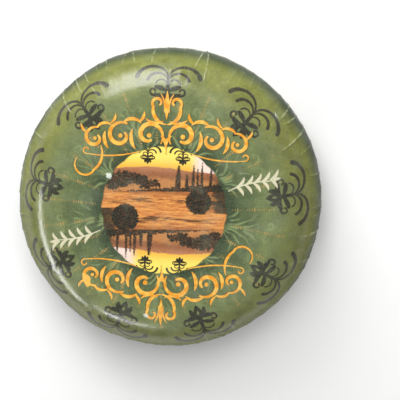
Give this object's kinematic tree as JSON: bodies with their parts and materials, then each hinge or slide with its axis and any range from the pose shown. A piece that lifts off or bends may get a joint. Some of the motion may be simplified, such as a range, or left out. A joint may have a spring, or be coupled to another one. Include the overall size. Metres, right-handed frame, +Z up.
{
  "type": "cheese wheel",
  "caption": "Whole round wheel of semi-hard cheese with a flat face, a broad rounded shoulder and a bulging side, wrapped in a green printed film that leaves the base bare.",
  "frame": {"origin": "centre of the base, on the surface that the wheel lies on", "axes": "+Z up along the wheel's axis, from the bare base to the printed face; +Y towards the top of the print, +X towards its right"},
  "size_m": [0.35, 0.35, 0.122],
  "materials": {
    "rind": "dry waxy cheese rind, mottled golden brown, half matte",
    "film": "thin satin-gloss plastic film, printed moss green with black flower ornaments and gold scrollwork, pleated at the shoulder"
  },
  "bodies": {
    "root": {"cheese_body": "rind", "printed_film": "film"}
  },
  "joints": []
}
